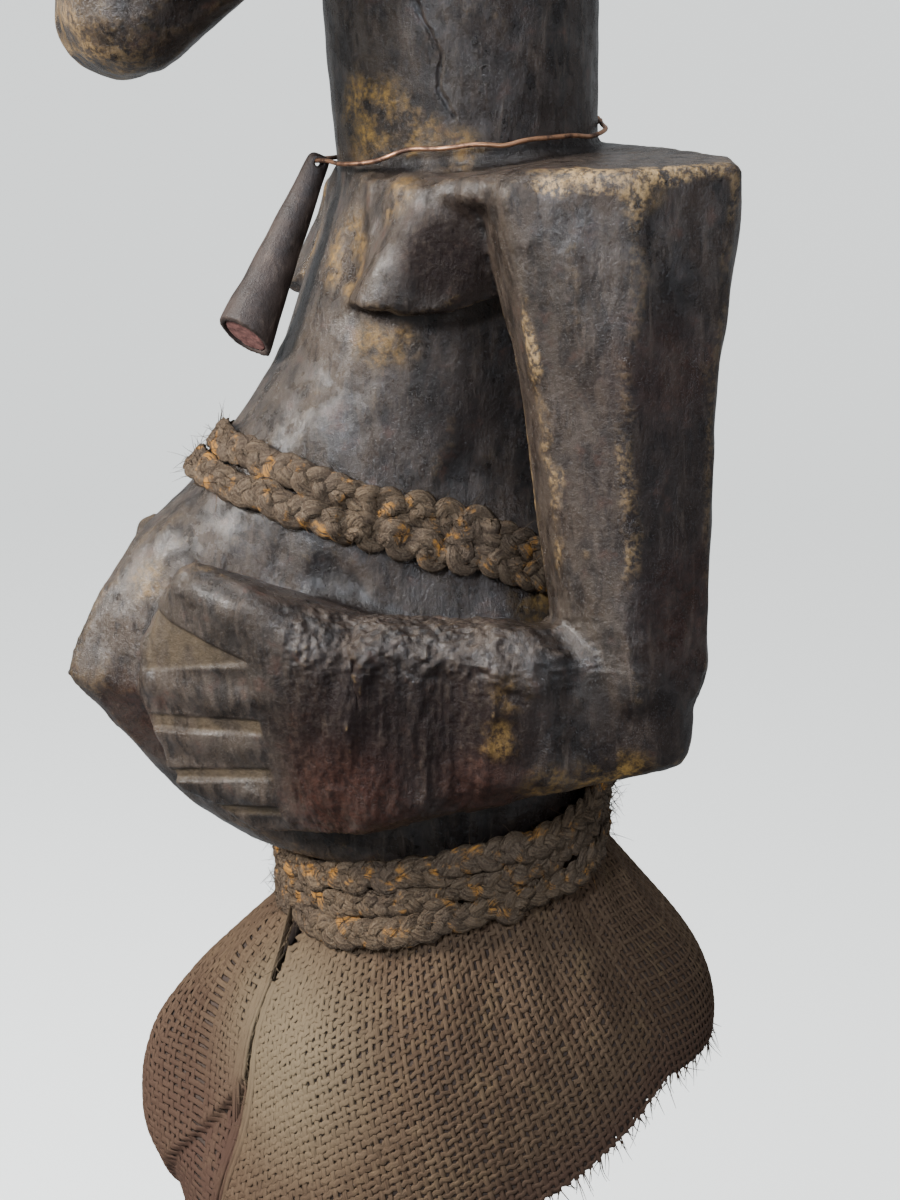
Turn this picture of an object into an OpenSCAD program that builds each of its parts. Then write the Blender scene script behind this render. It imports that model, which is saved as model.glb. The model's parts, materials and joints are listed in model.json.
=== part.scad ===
// A standing female figure carved from one block of wood, wearing a copper
// neck wire with a horn pendant, two braided belts and a burlap skirt.
// Millimetres. +Z is up, the figure faces -Y and its left arm is at +X.
// The origin is the centre of the plinth's resting face.

/* [Figure] */
// Radius of the neck at the shoulder shelf
neck_r = 29; // [27:0.5:29.5]
// Distance from the middle to the outer face of an arm
arm_out = 78; // [76:1:82]
// How far the point of the belly stands out in front
belly_reach = 90; // [84:1:94]
// How far the chin stands out in front
chin_reach = 87; // [82:1:90]
// Height of the underside of the chin
chin_z = 408; // [407:1:412]

/* [Plinth] */
// Radius of the round plinth
plinth_r = 62; // [58:1:70]
// Thickness of the round plinth
plinth_h = 22; // [16:1:26]

/* [Neck wire] */
// Thickness of the copper wire
wire_d = 1.2; // [0.9:0.1:1.4]
// Radius of the wire loop, to the middle of the wire
loop_r = 33; // [32.5:0.1:33.4]
// Tilt of the loop, low at the front
loop_tilt = 7; // [6:0.5:9]

/* [Pendant] */
// Length of the horn pendant below the wire
pendant_l = 46; // [40:0.5:47]
// Radius of the pendant's wide lower end
pendant_r = 6.8; // [6:0.1:7]
// Angle at which the pendant hangs away from the vertical
pendant_lean = 24; // [24:0.5:30]

/* [Belts] */
// Thickness of one braid of the waist belt
waist_braid_d = 6.2; // [5.6:0.1:6.4]
// Thickness of one braid of the hip belt
hip_braid_d = 5.8; // [5.4:0.1:5.9]

/* [Skirt] */
// Thickness of the burlap
cloth_t = 1.4; // [1:0.1:1.6]
// Height of the hem at the front
hem_front_z = 112; // [104:1:125]
// Height of the hem at the back
hem_back_z = 186; // [168:1:190]

/* [Hidden] */

// The torso at each height: half width, depth in front, depth behind, and
// how square its front is (below 2 it comes to a point).
torso_half_w = [[184, 36], [205, 37.5], [226, 38.4], [243, 38.8], [276, 43], [300, 38],
                [318, 35], [336, 35], [350, 36], [362, 38], [388, 40]];
torso_front = [[184, 28], [205, 34], [226, 35.4], [233.6, 35.8], [235, 44], [238, 52],
               [243, 60], [255, 72], [267, 82], [276, belly_reach], [284, belly_reach - 2],
               [295, belly_reach - 8], [308, 73], [318, 61.5], [328, 53], [336, 46.5],
               [346, 39.5], [356, 35.5], [366, 32], [376, 28.5], [388, 25.5]];
torso_back = [[184, 40], [205, 38], [226, 30.4], [240, 30.6], [276, 31], [318, 31],
              [350, 35], [388, 38]];
torso_square = [[184, 2.3], [232, 2.2], [242, 1.8], [262, 1.45], [284, 1.4], [300, 1.6],
                [318, 2], [336, 2.2], [388, 2.7]];
TORSO_Z = [184, 195, 205, 226, 233.6, 235, 238, 243, 249, 255, 261, 267, 272, 276, 280,
           284, 290, 295, 302, 308, 318, 328, 336, 346, 356, 366, 376, 388];
TORSO_SIDES = 40;

// The skirt's inner face at each height: half width, depth in front, depth
// behind, and how far the wearer's right knee pushes it forward.
skirt_half_w = [[104, 60], [140, 62], [165, 62.5], [180, 61.5], [193, 58.5], [205, 53],
                [214, 46], [223.5, 39.9], [250, 39.6]];
skirt_front = [[104, 64], [130, 64], [149, 62], [165, 56], [181, 52], [196, 50.5],
               [209, 42.5], [215.5, 36.8], [250, 36.6]];
skirt_back = [[104, 54], [150, 57], [172, 59.5], [183, 61.2], [193, 62], [201, 60.6],
              [209, 55.5], [217, 48.6], [224, 43], [230, 37.5], [234, 31.6], [260, 31.3]];
skirt_push = [[104, -14], [131, 2], [144, 12], [153, 20], [165, 25], [180, 25], [192, 14],
              [209, 2], [216, 0]];
skirt_push_angle = 328;
skirt_push_width = 24;
SKIRT_STEPS = 60;
SKIRT_ROWS = 10;
SKIRT_SQUARE = 2.2;
skirt_near_edge = 13;
skirt_far_edge = 371;
skirt_cut_edge = 369;
skirt_cut_z = 176;

// The waist belt rises towards the front and the hip belt sinks.
waist_z = 308.5;
waist_rise = 17;
hip_front_z = 225.3;
hip_back_z = 246;
hip_half_w = 39.9;
hip_front = 36.9;
hip_back = 31.7;
// Height of the cloth's top edge above the belt's middle, and the distance
// down from it to the rows of points that lie under the belt.
skirt_over_belt = 4.8;
skirt_belt_rows = [0, 7.8, 14.2];
// Space between neighbouring braids of the hip belt.
hip_braid_gap = 0.35;
BELT_RINGS = 64;
BELT_SIDES = 8;

// The wire loop, and the point where the pendant hangs on it.
loop_centre = [0, 2, 394.4];
hang_point = loop_centre + loop_r * [0, -cos(loop_tilt), -sin(loop_tilt)];
wire_hole_r = wire_d / 2 + 0.4;
horn_wall = 1.5;
horn_tip_r = 2.5;
plug_l = 6;
fit_gap = 0.1;

wood = [0.23, 0.19, 0.17];
copper = [0.69, 0.48, 0.33];
horn = [0.27, 0.24, 0.23];
plug_red = [0.48, 0.31, 0.31];
fibre = [0.36, 0.30, 0.23];
burlap = [0.48, 0.42, 0.35];

// ---- shapes shared by the sub-parts ----

function signed_pow(v, e) = sign(v) * pow(abs(v), e);

// A point on a rounded outline: angle 0 is the front, 90 the figure's left.
function outline_point(angle, half_w, front, back, square, z) =
  let (e = 2 / (cos(angle) > 0 ? square : 2.3))
  [half_w * signed_pow(sin(angle), e),
   -(cos(angle) > 0 ? front : back) * signed_pow(cos(angle), e),
   z];

function torso_point(angle, z) =
  outline_point(angle, lookup(z, torso_half_w), lookup(z, torso_front),
                lookup(z, torso_back), lookup(z, torso_square), z);

function unit(v) = v / norm(v);

function torso_normal(angle, z) =
  unit(cross(torso_point(angle + 2, z) - torso_point(angle - 2, z),
             torso_point(angle, z + 2) - torso_point(angle, z - 2)));

// Joins equal rings of points into one closed solid. The ends are flat faces,
// or on a thin sheet two rows of triangles between its faces.
module loft(rings, thin = false) {
  n = len(rings[0]);
  last = len(rings) - 1;
  points = [for (r = rings) each r];
  walls = [for (j = [0:last - 1]) for (i = [0:n - 1])
    let (k = (i + 1) % n)
    each [[j * n + i, j * n + k, (j + 1) * n + k],
          [j * n + i, (j + 1) * n + k, (j + 1) * n + i]]];
  end = thin
    ? [for (j = [0:n / 2 - 2]) each [[j, n - 2 - j, j + 1], [j, n - 1 - j, n - 2 - j]]]
    : [[for (i = [n - 1:-1:0]) i]];
  other_end = [for (f = end) [for (k = [len(f) - 1:-1:0]) last * n + f[k]]];
  polyhedron(points, concat(end, other_end, walls));
}

// Sweeps a round section along a closed path.
module closed_tube(path, radius) {
  n = len(path);
  s = BELT_SIDES;
  points = [for (i = [0:n - 1])
    let (along = unit(path[(i + 1) % n] - path[(i + n - 1) % n]),
         side = unit(cross(along, [0, 0, 1])),
         up = cross(side, along))
    for (k = [0:s - 1]) path[i] + radius * (cos(360 * k / s) * side + sin(360 * k / s) * up)];
  faces = [for (i = [0:n - 1]) for (k = [0:s - 1])
    let (j = (i + 1) % n, m = (k + 1) % s)
    each [[i * s + k, j * s + m, j * s + k], [i * s + k, i * s + m, j * s + m]]];
  polyhedron(points, faces);
}

// A rounded lump that wraps the given centres.
module lump(centres, radius) {
  hull()
    for (c = centres)
      translate(c) sphere(radius, $fn = 12);
}

module ellipsoid(centre, radii) {
  translate(centre) scale(radii) sphere(1, $fn = 26);
}

module both_sides() {
  children();
  mirror([1, 0, 0]) children();
}

// ---- the carved figure ----

module torso() {
  loft([for (z = TORSO_Z)
    [for (i = [0:TORSO_SIDES - 1]) torso_point(-360 * i / TORSO_SIDES, z)]]);
}

module shoulder_shelf() {
  edge_r = 3;
  out = arm_out - edge_r;
  hull()
    both_sides()
      for (c = [[0, -22.5, 383.5], [34, -20, 383.5], [50, -6, 385], [64, -4, 385.5],
                [out, 17, 386.5], [out - 1, 38, 388], [60, 41.5, 389], [30, 40, 391],
                [0, 38, 392]])
        translate(c) sphere(edge_r, $fn = 12);
}

module breast() {
  lump([[40, -28, 362], [44.5, -18.5, 376.5], [50, -6, 385], [34, -20, 383.5],
        [20, -22.5, 383.5], [22, -27.5, 363], [45, -14, 361.5], [46, 4, 368], [28, 4, 384]],
       2.5);
}

module upper_arm() {
  r = 5;
  out = arm_out - r;
  top = [[53, -3], [64, -3], [out, 17], [out - 2, 37], [62, 39.5], [53, 37]];
  middle = [[53, 6], [63, 6], [out - 0.5, 17], [out - 3, 33], [62, 35.5], [53, 33]];
  bottom = [[55, 14], [64, 14], [out, 20], [out - 3, 32], [62, 33.5], [54, 31]];
  levels = [[top, 384], [middle, 345], [bottom, 284]];
  for (i = [0:1])
    hull()
      for (level = [levels[i], levels[i + 1]])
        for (c = level[0])
          translate([c.x, c.y, level[1]]) sphere(r, $fn = 12);
}

module forearm() {
  wrist = [[49, -30, 260], [55, -31, 260], [49, -30, 289], [55, -30, 289]];
  lump(concat(wrist, [[58, 27, 271], [arm_out - 10, 27, 272], [58, 27, 285],
                      [arm_out - 9, 26, 285]]), 8);
  // bracelet left standing in the wood
  lump([[60, 2, 269], [65, 2, 269], [60, 2, 287], [65, 2, 287],
        [58, -8, 268], [63, -8, 268], [58, -8, 287.4], [63, -8, 287.4]], 8.4);
}

module hand() {
  ridge = [[47, -55, 298], [54, -42, 288], [56, -36, 272], [55, -34, 256]];
  wrist = [[52, -26, 289], [52, -26, 256], [36, -24, 288], [36, -24, 258]];
  fingertips = [[33, -65, 302], [19, -69, 291], [18, -71, 277], [22, -64, 258],
                [32, -52, 252]];
  lump(concat(ridge, wrist, fingertips), 5);
  for (k = [0:3])
    lump([[47 - 1.5 * abs(k - 1), -50 + 2.4 * k, 288 - 9 * k],
          [18 + k * 0.8, -71.8 + 1.4 * k, 287 - 8.8 * k]], 4);
}

module neck() {
  hull() {
    translate([0, 4.5, 378]) cylinder(h = 14, r = neck_r, $fn = 48);
    translate([0, 2, 436]) cylinder(h = 26, r = neck_r + 2.5, $fn = 48);
  }
}

module head() {
  chin_y = 14.5 - chin_reach;
  // skull
  ellipsoid([0, 7, 502], [41, 46, 60]);
  // forehead, cheeks and the long lower face
  lump([[15, -22, 536], [-15, -22, 536], [24, -24, 500], [-24, -24, 500],
        [23, -26, 474], [-23, -26, 474], [9, -62, 452], [-9, -62, 452],
        [0, -44, 500]], 14);
  // jaw and chin
  lump([[24, -14, 474], [-24, -14, 474], [11, chin_y, chin_z + 15],
        [-11, chin_y, chin_z + 15], [11, -66, 446], [-11, -66, 446]], 14.5);
  // nose
  lump([[0, -55, 508], [0, -76, 473], [8, -70, 471], [-8, -70, 471]], 3.5);
  // mouth
  ellipsoid([0, -78, 446], [17, 10, 7]);
  // hair, cut straight across the brow
  ellipsoid([0, 13, 509], [43, 45, 57]);
  both_sides() {
    // brow, eye and ear
    lump([[7, -52, 509], [27, -37, 505]], 4);
    ellipsoid([17, -45, 492], [11, 6, 5.5]);
    lump([[41, 10, 500], [42, 13, 482], [37, 13, 472]], 4);
  }
}

module leg() {
  // buttock and thigh
  ellipsoid([20, 27, 190], [23, 27, 24]);
  lump([[24, 2, 192], [27, -14, 130]], 20);
  // knee and calf
  lump([[27, -17, 124], [28, 4, 98]], 17);
  lump([[28, 4, 98], [30, 12, 44]], 13.5);
  // foot
  lump([[28, 20, plinth_h + 6], [35, 18, plinth_h + 6], [24, -38, plinth_h + 4],
        [40, -36, plinth_h + 4], [30, 8, plinth_h + 16]], 7);
}

module plinth() {
  cylinder(h = plinth_h - 2, r = plinth_r, $fn = 96);
  translate([0, 0, plinth_h - 2]) cylinder(h = 2, r1 = plinth_r, r2 = plinth_r - 2, $fn = 96);
}

module carved_figure() {
  color(wood) {
    torso();
    shoulder_shelf();
    neck();
    head();
    plinth();
    both_sides() {
      breast();
      upper_arm();
      forearm();
      hand();
      leg();
    }
  }
}

// ---- the neck wire and its pendant ----

module neck_wire() {
  color(copper)
    translate(loop_centre)
      rotate([loop_tilt, 0, 0]) {
        rotate_extrude($fn = 96)
          translate([loop_r, 0]) circle(d = wire_d, $fn = 24);
        // twisted ends at the back
        translate([0, loop_r, 0])
          rotate([0, 70, 0])
            translate([0, 0, -4]) cylinder(h = 8, d = wire_d * 1.7, $fn = 24);
      }
}

module hung_on_wire() {
  translate(hang_point)
    rotate([180 - pendant_lean, 0, 0])
      children();
}

module pendant_horn() {
  top = -2;
  cavity_top = 14;
  color(horn)
    hung_on_wire()
      difference() {
        rotate_extrude($fn = 64)
          polygon([[0, top], [horn_tip_r - 0.8, top], [horn_tip_r, top + 0.8],
                   [pendant_r, pendant_l], [0, pendant_l]]);
        rotate_extrude($fn = 64)
          polygon([[0, cavity_top], [1.6, cavity_top],
                   [pendant_r - horn_wall - 0.6, pendant_l - plug_l],
                   [pendant_r - horn_wall, pendant_l - plug_l],
                   [pendant_r - horn_wall, pendant_l + 1], [0, pendant_l + 1]]);
        rotate([0, 90, 0])
          translate([0, 0, -10]) cylinder(h = 20, r = wire_hole_r, $fn = 32);
      }
}

module pendant_plug() {
  color(plug_red)
    hung_on_wire()
      translate([0, 0, pendant_l - plug_l + fit_gap])
        cylinder(h = plug_l - fit_gap - 0.4, r = pendant_r - horn_wall - fit_gap, $fn = 64);
}

// ---- the belts ----

// Braids of the waist belt lie against the wood, one above the other.
module waist_braid(level) {
  r = waist_braid_d / 2;
  path = [for (i = [0:BELT_RINGS - 1])
    let (a = 360 * i / BELT_RINGS,
         z = waist_z + waist_rise * cos(a) + level * r)
    torso_point(a, z) + (r + 0.45) * torso_normal(a, z)];
  closed_tube(path, r);
}

module waist_braid_upper() {
  color(fibre) waist_braid(1.05);
}

module waist_braid_lower() {
  color(fibre) waist_braid(-1.05);
}

module waist_knot() {
  back = lookup(waist_z - waist_rise, torso_back);
  color(fibre)
    ellipsoid([3, back + waist_braid_d * 0.95, waist_z - waist_rise + 1], [8, 5, 7]);
}

// Height of the hip belt's middle, lowest at the front.
function hip_level(angle) =
  hip_front_z + (hip_back_z - hip_front_z) * pow((1 - cos(angle)) / 2, 1.2);

// Braids of the hip belt lie on the skirt's top edge, and the lowest one is
// pushed out by the cloth that spreads below it.
module hip_braid(level) {
  over_cloth = cloth_t + 0.35 + hip_braid_d / 2;
  path = [for (i = [0:BELT_RINGS - 1])
    let (a = 360 * i / BELT_RINGS,
         z = hip_level(a) + level * (hip_braid_d + hip_braid_gap),
         low = z - hip_braid_d / 2)
    level < 0
      ? outline_point(a, max(hip_half_w, lookup(low, skirt_half_w)) + over_cloth,
                      max(hip_front, lookup(low, skirt_front)) + over_cloth,
                      max(hip_back, lookup(low, skirt_back)) + over_cloth, SKIRT_SQUARE, z)
      : outline_point(a, hip_half_w + over_cloth, hip_front + over_cloth,
                      hip_back + over_cloth, SKIRT_SQUARE, z)];
  closed_tube(path, hip_braid_d / 2);
}

module hip_braid_upper() {
  color(fibre) hip_braid(1);
}

module hip_braid_middle() {
  color(fibre) hip_braid(0);
}

module hip_braid_lower() {
  color(fibre) hip_braid(-1);
}

module hip_knot() {
  color(fibre)
    ellipsoid([-4, hip_back + cloth_t + hip_braid_d * 1.15, hip_back_z], [9, 4.5, 8]);
}

// ---- the skirt ----

function skirt_top(angle) = hip_level(angle) + skirt_over_belt;

// The hem is level round the back and slants down to the front on both sides.
function skirt_hem(angle) =
  let (from_front = min(angle, 360 - angle))
  hem_front_z + (hem_back_z - hem_front_z) * min(1, max(0, from_front - 14) / 112);

// Where the cloth's far end stops at each height: its lower corner is cut away.
function skirt_end(z) =
  z > skirt_cut_z ? skirt_far_edge
    : skirt_far_edge - (skirt_far_edge - skirt_cut_edge) * (skirt_cut_z - z)
      / (skirt_cut_z - hem_front_z);

function skirt_point(angle, z, out) =
  let (off = (angle - skirt_push_angle) / skirt_push_width,
       push = lookup(z, skirt_push) * exp(-off * off))
  outline_point(angle, lookup(z, skirt_half_w) + out, lookup(z, skirt_front) + push + out,
                lookup(z, skirt_back) + out, SKIRT_SQUARE, z);

module skirt_cloth() {
  // One column of points per step round the body: down the inner face and
  // back up the outer face.
  columns = [for (i = [0:SKIRT_STEPS])
    let (u = i / SKIRT_STEPS)
    concat(
      [for (j = [0:SKIRT_ROWS]) skirt_grid_point(u, j, 0)],
      [for (j = [SKIRT_ROWS:-1:0]) skirt_grid_point(u, j, cloth_t)])];
  color(burlap) loft(columns, thin = true);
}

// The first rows lie under the belt, and the rest share the height left.
function skirt_grid_point(u, row, out) =
  let (nominal = skirt_near_edge + u * (skirt_far_edge - skirt_near_edge),
       top = skirt_top(nominal),
       held = len(skirt_belt_rows) - 1,
       free = top - skirt_belt_rows[held],
       z = row <= held
         ? top - skirt_belt_rows[row]
         : free + (row - held) / (SKIRT_ROWS - held) * (skirt_hem(nominal) - free),
       angle = skirt_near_edge + u * (skirt_end(z) - skirt_near_edge))
  skirt_point(angle, z, out);

carved_figure();
neck_wire();
pendant_horn();
pendant_plug();
waist_braid_upper();
waist_braid_lower();
waist_knot();
hip_braid_upper();
hip_braid_middle();
hip_braid_lower();
hip_knot();
skirt_cloth();
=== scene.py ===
"""The looks of a carved fertility figure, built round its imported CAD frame. Metres, +Z up."""

import json
import math

import bmesh
import bpy
import numpy as np
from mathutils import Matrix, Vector
from mathutils.bvhtree import BVHTree


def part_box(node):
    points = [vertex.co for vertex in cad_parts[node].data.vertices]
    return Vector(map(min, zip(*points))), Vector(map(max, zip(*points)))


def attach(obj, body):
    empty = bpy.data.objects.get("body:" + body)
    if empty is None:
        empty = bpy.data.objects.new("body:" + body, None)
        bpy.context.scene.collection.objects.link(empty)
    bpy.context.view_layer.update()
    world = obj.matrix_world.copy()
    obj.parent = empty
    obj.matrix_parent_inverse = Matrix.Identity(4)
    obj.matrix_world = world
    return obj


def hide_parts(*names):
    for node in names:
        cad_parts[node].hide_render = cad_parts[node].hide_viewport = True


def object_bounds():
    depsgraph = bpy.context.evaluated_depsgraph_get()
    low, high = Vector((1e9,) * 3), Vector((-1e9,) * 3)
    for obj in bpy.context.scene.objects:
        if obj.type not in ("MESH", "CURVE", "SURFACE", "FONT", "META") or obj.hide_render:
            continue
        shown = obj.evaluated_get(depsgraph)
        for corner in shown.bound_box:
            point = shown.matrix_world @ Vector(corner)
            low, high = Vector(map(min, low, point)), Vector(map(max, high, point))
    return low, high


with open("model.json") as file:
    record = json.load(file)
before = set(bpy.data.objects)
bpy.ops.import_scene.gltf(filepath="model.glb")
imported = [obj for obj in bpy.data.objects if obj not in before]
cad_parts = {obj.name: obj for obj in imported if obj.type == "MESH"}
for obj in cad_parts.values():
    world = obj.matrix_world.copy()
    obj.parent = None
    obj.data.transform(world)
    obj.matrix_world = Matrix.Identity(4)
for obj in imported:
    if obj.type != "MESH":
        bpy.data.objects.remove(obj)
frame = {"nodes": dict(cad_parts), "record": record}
CAD_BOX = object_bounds()

MM = 0.001
scene = bpy.context.scene
LOW, HIGH = (np.array(corner) for corner in CAD_BOX)


def box(node):
    """The low and high corners of a CAD node."""
    return (np.array(corner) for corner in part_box(node))


def middle(node):
    return sum(box(node)) / 2


def radians(degrees):
    return math.radians(degrees)


# ---------------------------------------------------------------- camera, light, stage

VIEW_AZIMUTH = radians(75)
VIEW_PITCH = radians(11.5)
VIEW_DISTANCE = 520 * MM
LENS = 66
PICTURE_HEIGHT_SHARE = 0.511  # how far up the figure the middle of the picture lies


def view_axes():
    """Unit vectors of the view: towards the figure, to the right and up."""
    a, p = VIEW_AZIMUTH, VIEW_PITCH
    ahead = Vector((-math.sin(a) * math.cos(p), math.cos(a) * math.cos(p), -math.sin(p)))
    right = Vector((math.cos(a), math.sin(a), 0))
    return ahead, right, right.cross(ahead)


AHEAD, RIGHT, UP = view_axes()
FOCUS = Vector((0, 0, HIGH[2] * PICTURE_HEIGHT_SHARE))


def add_camera():
    camera = bpy.data.objects.new("camera", bpy.data.cameras.new("camera"))
    camera.data.lens = LENS
    camera.data.sensor_width = 36
    camera.data.clip_start = 0.01
    camera.location = FOCUS - AHEAD * VIEW_DISTANCE
    camera.rotation_euler = AHEAD.to_track_quat("-Z", "Y").to_euler()
    scene.collection.objects.link(camera)
    scene.camera = camera


def add_area_light(name, offset, size, power, colour):
    """An area light that shines at the focus from offset = (right, up, towards the camera)."""
    lamp = bpy.data.lights.new(name, "AREA")
    lamp.size = size
    lamp.energy = power
    lamp.color = colour
    light = bpy.data.objects.new(name, lamp)
    light.location = FOCUS + RIGHT * offset[0] + Vector((0, 0, offset[1])) - AHEAD * offset[2]
    light.rotation_euler = (FOCUS - light.location).to_track_quat("-Z", "Y").to_euler()
    scene.collection.objects.link(light)


def add_stage():
    """A pale floor that sweeps up into a backdrop all round, far from the figure."""
    profile = [(0, 0), (1.0, 0), (2.0, 0)]
    profile += [(2 + math.sin(radians(t)), 1 - math.cos(radians(t))) for t in range(10, 91, 10)]
    profile.append((3, 3))
    turns = 96
    points = [(r * math.cos(a), r * math.sin(a), z)
              for r, z in profile
              for a in (2 * math.pi * i / turns for i in range(turns))]
    faces = [(j * turns + i, j * turns + (i + 1) % turns,
              (j + 1) * turns + (i + 1) % turns, (j + 1) * turns + i)
             for j in range(len(profile) - 1) for i in range(turns)]
    sweep = mesh_object("sweep", points, faces)
    sweep.visible_diffuse = False
    sweep.visible_glossy = False
    sweep.visible_shadow = False
    g = Graph("sweep")
    g.shade({"Base Color": (0.78, 0.80, 0.795), "Roughness": 0.9,
             "Emission Color": (0.97, 1.0, 0.99), "Emission Strength": 1.0})
    sweep.data.materials.append(g.material)


def add_lights():
    world = bpy.data.worlds.new("world")
    world.use_nodes = True
    background = world.node_tree.nodes["Background"]
    background.inputs["Color"].default_value = (0.92, 0.96, 1.0, 1)
    background.inputs["Strength"].default_value = 0.36
    scene.world = world
    add_area_light("key", (-0.80, 0.40, 0.26), 0.26, 20.0, (1.0, 0.97, 0.93))
    add_area_light("top", (-0.10, 0.80, 0.10), 0.40, 7.0, (0.90, 0.95, 1.0))
    add_area_light("glint", (-0.26, 0.20, 0.75), 0.11, 6.0, (0.78, 0.87, 1.0))
    add_area_light("ridge_glint", (0.30, 0.10, 0.70), 0.07, 1.3, (0.80, 0.88, 1.0))


# ---------------------------------------------------------------- mesh tools

def shade_smooth(mesh):
    mesh.polygons.foreach_set("use_smooth", [True] * len(mesh.polygons))


def mesh_object(name, points, faces):
    mesh = bpy.data.meshes.new(name)
    mesh.from_pydata([tuple(p) for p in points], [], faces)
    mesh.validate()
    shade_smooth(mesh)
    piece = bpy.data.objects.new(name, mesh)
    scene.collection.objects.link(piece)
    return piece


def declare(piece, body, node=None):
    """Puts a piece on a body, in place of a CAD node."""
    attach(piece, body)
    if node:
        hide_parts(node)


def read_rows(items, name, width, kind=float):
    """One property of a mesh's vertices or edges, with a row for each."""
    values = np.empty(len(items) * width, dtype=kind)
    items.foreach_get(name, values)
    return values.reshape(-1, width)


def get_points(mesh):
    return read_rows(mesh.vertices, "co", 3)


def get_edges(mesh):
    return read_rows(mesh.edges, "vertices", 2, np.int64)


def get_normals(mesh):
    return read_rows(mesh.vertices, "normal", 3)


def set_points(mesh, points):
    mesh.vertices.foreach_set("co", points.ravel())
    mesh.update()


def neighbour_mean(values, edges):
    """The mean of each vertex's neighbours, for one or more columns of values."""
    a, b = edges.T
    count = np.bincount(edges.ravel(), minlength=len(values))
    columns = values.reshape(len(values), -1)
    total = [np.bincount(a, c[b], len(c)) + np.bincount(b, c[a], len(c)) for c in columns.T]
    return (np.stack(total, axis=1) / count[:, None]).reshape(values.shape)


def smoothed(values, edges, rounds, amount=0.5):
    for _ in range(rounds):
        values = values + amount * (neighbour_mean(values, edges) - values)
    return values


def add_attribute(mesh, name, values):
    made = mesh.attributes.new(name, "FLOAT", "POINT")
    made.data.foreach_set("value", np.asarray(values, dtype=np.float32))


def hashed(cells, seed):
    """A repeatable value from 0 to 1 for each row of whole numbers."""
    x, y, z = cells.T.astype(np.int64)
    h = x * 374761393 + y * 668265263 + z * 2147483647 + seed * 1274126177
    h = (h ^ (h >> 13)) * 1274126177
    h = h ^ (h >> 16)
    return (h & 0xFFFFFF) / float(0x1000000)


def noise(points, size, seed):
    """Smooth noise from -1 to 1, whose lumps are about size across."""
    scaled = points / size
    cell = np.floor(scaled).astype(np.int64)
    f = scaled - cell
    f = f * f * (3 - 2 * f)
    total = np.zeros(len(points))
    for corner in np.ndindex(2, 2, 2):
        weight = np.abs(1 - np.array(corner) - f).prod(axis=1)
        total += weight * hashed(cell + corner, seed)
    return total * 2 - 1


def ramp(values, low, high):
    """A smooth step from 0 at low to 1 at high."""
    t = np.clip((values - low) / (high - low), 0, 1)
    return t * t * (3 - 2 * t)


# ---------------------------------------------------------------- material tools

class Graph:
    """A new material, with short calls for the nodes that the materials share."""

    def __init__(self, name):
        self.material = bpy.data.materials.new(name)
        self.material.use_nodes = True
        tree = self.material.node_tree
        self.nodes, self.links, self.shader = tree.nodes, tree.links, tree.nodes["Principled BSDF"]

    def feed(self, target, value):
        """Gives an input a value, or links it to a socket or to a node's first output."""
        if isinstance(value, (int, float, tuple)):
            if isinstance(value, tuple) and len(value) == 3 and target.type == "RGBA":
                value = (*value, 1)
            target.default_value = value
        else:
            self.links.new(value.outputs[0] if hasattr(value, "outputs") else value, target)

    def node(self, kind, inputs, **settings):
        made = self.nodes.new("ShaderNode" + kind)
        for name, value in settings.items():
            setattr(made, name, value)
        for name, value in inputs.items():
            self.feed(made.inputs[name], value)
        return made

    def place(self):
        return self.node("TexCoord", {}).outputs["Object"]

    def attribute(self, name):
        return self.node("Attribute", {}, attribute_name=name).outputs["Fac"]

    def strand_place(self, **scales):
        """A texture place that follows a strand, scaled round it, along it and by its tint."""
        return self.node("CombineXYZ", {
            i: self.times(self.attribute(name), scale)
            for i, (name, scale) in enumerate(scales.items())})

    def stretched(self, vector, scale):
        return self.node("Mapping", {"Vector": vector, "Scale": scale})

    def noise(self, vector, size, detail=4.0, roughness=0.55, warp=0.0):
        return self.node("TexNoise", {"Vector": vector, "Scale": 1 / size, "Detail": detail,
                                      "Roughness": roughness, "Distortion": warp}).outputs["Fac"]

    def math(self, operation, a, b, clamp=False):
        return self.node("Math", {0: a, 1: b}, operation=operation, use_clamp=clamp).outputs[0]

    def times(self, a, b, clamp=False):
        return self.math("MULTIPLY", a, b, clamp)

    def ramp(self, value, low, high, to_low=0.0, to_high=1.0):
        return self.node("MapRange", {"Value": value, "From Min": low, "From Max": high,
                                      "To Min": to_low, "To Max": to_high},
                         interpolation_type="SMOOTHSTEP").outputs["Result"]

    def between(self, share, a, b):
        """Starts the base colour, between a and b."""
        made = self.node("Mix", {"Factor": share}, data_type="RGBA")
        colours = [s for s in made.inputs if s.type == "RGBA"]
        self.feed(colours[0], a)
        self.feed(colours[1], b)
        self.colour = [s for s in made.outputs if s.type == "RGBA"][0]

    def over(self, share, colour):
        """Lays a share of another colour over the base colour so far."""
        self.between(share, self.colour, colour)

    def bump(self, height, strength, distance, below=None):
        inputs = {"Height": height, "Strength": strength, "Distance": distance}
        if below is not None:
            inputs["Normal"] = below
        return self.node("Bump", inputs)

    def shade(self, inputs):
        for name, value in inputs.items():
            self.feed(self.shader.inputs[name], value)

    def finish(self, roughness, normal):
        self.shade({"Base Color": self.colour, "Roughness": roughness, "Normal": normal})
        return self.material


# ---------------------------------------------------------------- the carved wood

WOOD_VOXEL = 1.3 * MM
U = HIGH[2] / 565.6  # one millimetre of the figure, at its packed height


def merged_copy(node, name):
    """A copy of a CAD node's mesh whose split corners are joined again."""
    piece = bpy.data.objects.new(name, frame["nodes"][node].data.copy())
    scene.collection.objects.link(piece)
    work = bmesh.new()
    work.from_mesh(piece.data)
    bmesh.ops.remove_doubles(work, verts=work.verts, dist=0.002 * MM)
    work.to_mesh(piece.data)
    work.free()
    return piece


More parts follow.
